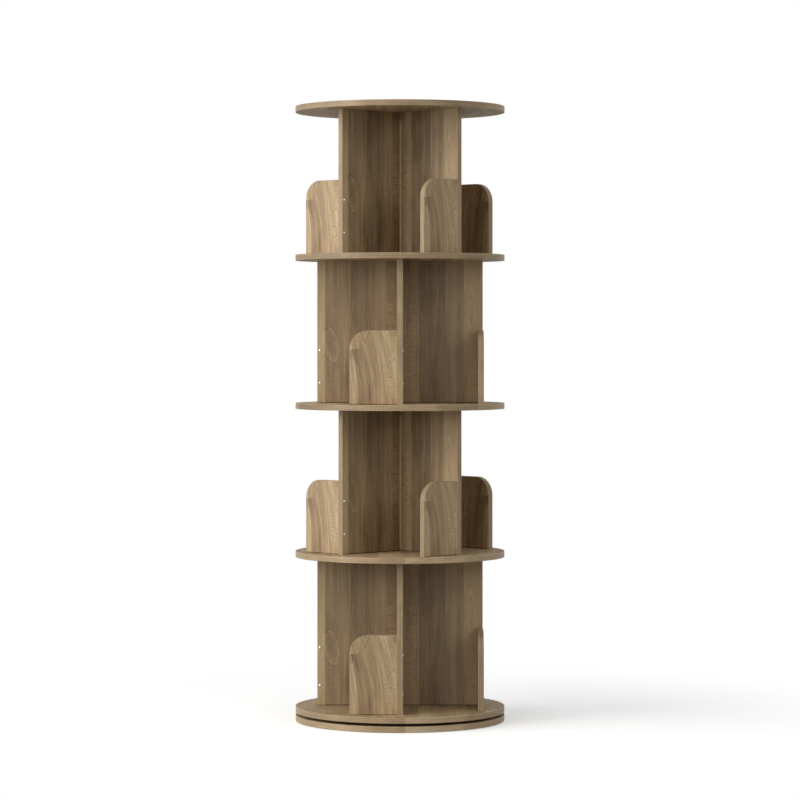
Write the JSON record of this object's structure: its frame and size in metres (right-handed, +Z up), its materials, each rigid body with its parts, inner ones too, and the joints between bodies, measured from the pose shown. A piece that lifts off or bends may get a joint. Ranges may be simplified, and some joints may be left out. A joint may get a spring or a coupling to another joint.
{
  "type": "revolving bookcase",
  "caption": "Round revolving bookcase: crossed dividers and low rounded book stops between round boards, turning on a ball-bearing ring over a fixed base board.",
  "frame": {"origin": "centre of the base on the floor, on the turning axis", "axes": "+Z up along the turning axis, -Y to the front as in the picture, +X to the right"},
  "size_m": [0.45, 0.45, 1.3212],
  "materials": {
    "decor_board": "matt oak decor on particle board",
    "edge_band": "matt oak decor strip",
    "pad_felt": "thin pressed felt",
    "ring_aluminium": "turned",
    "zinc_screw": "zinc plated",
    "ball_steel": "ground and polished",
    "cage_plastic": "moulded",
    "cap_plastic": "matt",
    "dowel_beech": "raw",
    "nickel_screw": "nickel plated"
  },
  "bodies": {
    "base": {"base_board": "decor_board", "base_board_band": "edge_band", "base_pads": "pad_felt", "turntable_inner_ring": "ring_aluminium", "inner_ring_screws": "zinc_screw"},
    "ball_cage": {"turntable_cage": "cage_plastic", "turntable_balls": "ball_steel"},
    "carousel": {"floor_board": "decor_board", "floor_board_band": "edge_band", "turntable_outer_ring": "ring_aluminium", "outer_ring_screws": "zinc_screw", "shelf_2": "decor_board", "shelf_2_band": "edge_band", "shelf_3": "decor_board", "shelf_3_band": "edge_band", "shelf_4": "decor_board", "shelf_4_band": "edge_band", "top_board": "decor_board", "top_board_band": "edge_band", "tier_1_through_divider": "decor_board", "tier_1_half_divider_north": "decor_board", "tier_1_half_divider_south": "decor_board", "tier_1_stop_east": "decor_board", "tier_1_stop_north": "decor_board", "tier_1_stop_west": "decor_board", "tier_1_stop_south": "decor_board", "tier_1_divider_bands": "edge_band", "tier_1_stop_bands": "edge_band", "tier_2_through_divider": "decor_board", "tier_2_half_divider_northwest": "decor_board", "tier_2_half_divider_southeast": "decor_board", "tier_2_stop_northeast": "decor_board", "tier_2_stop_northwest": "decor_board", "tier_2_stop_southwest": "decor_board", "tier_2_stop_southeast": "decor_board", "tier_2_divider_bands": "edge_band", "tier_2_stop_bands": "edge_band", "tier_3_through_divider": "decor_board", "tier_3_half_divider_north": "decor_board", "tier_3_half_divider_south": "decor_board", "tier_3_stop_east": "decor_board", "tier_3_stop_north": "decor_board", "tier_3_stop_west": "decor_board", "tier_3_stop_south": "decor_board", "tier_3_divider_bands": "edge_band", "tier_3_stop_bands": "edge_band", "tier_4_through_divider": "decor_board", "tier_4_half_divider_northwest": "decor_board", "tier_4_half_divider_southeast": "decor_board", "tier_4_stop_northeast": "decor_board", "tier_4_stop_northwest": "decor_board", "tier_4_stop_southwest": "decor_board", "tier_4_stop_southeast": "decor_board", "tier_4_divider_bands": "edge_band", "tier_4_stop_bands": "edge_band", "shelf_screws": "zinc_screw", "screw_caps": "cap_plastic", "dowels": "dowel_beech", "stop_screws": "nickel_screw"}
  },
  "joints": [
    {"name": "turntable_turn", "type": "hinge", "parent": "base", "child": "carousel", "pos_m": [0, 0, 0.0166], "axis": [0, 0, 1], "continuous": true},
    {"name": "cage_roll", "type": "hinge", "parent": "base", "child": "ball_cage", "pos_m": [0, 0, 0.0166], "axis": [0, 0, 1], "continuous": true}
  ],
  "couplings": [
    {"joint": "cage_roll", "follows": "turntable_turn", "ratio": 0.50976}
  ]
}
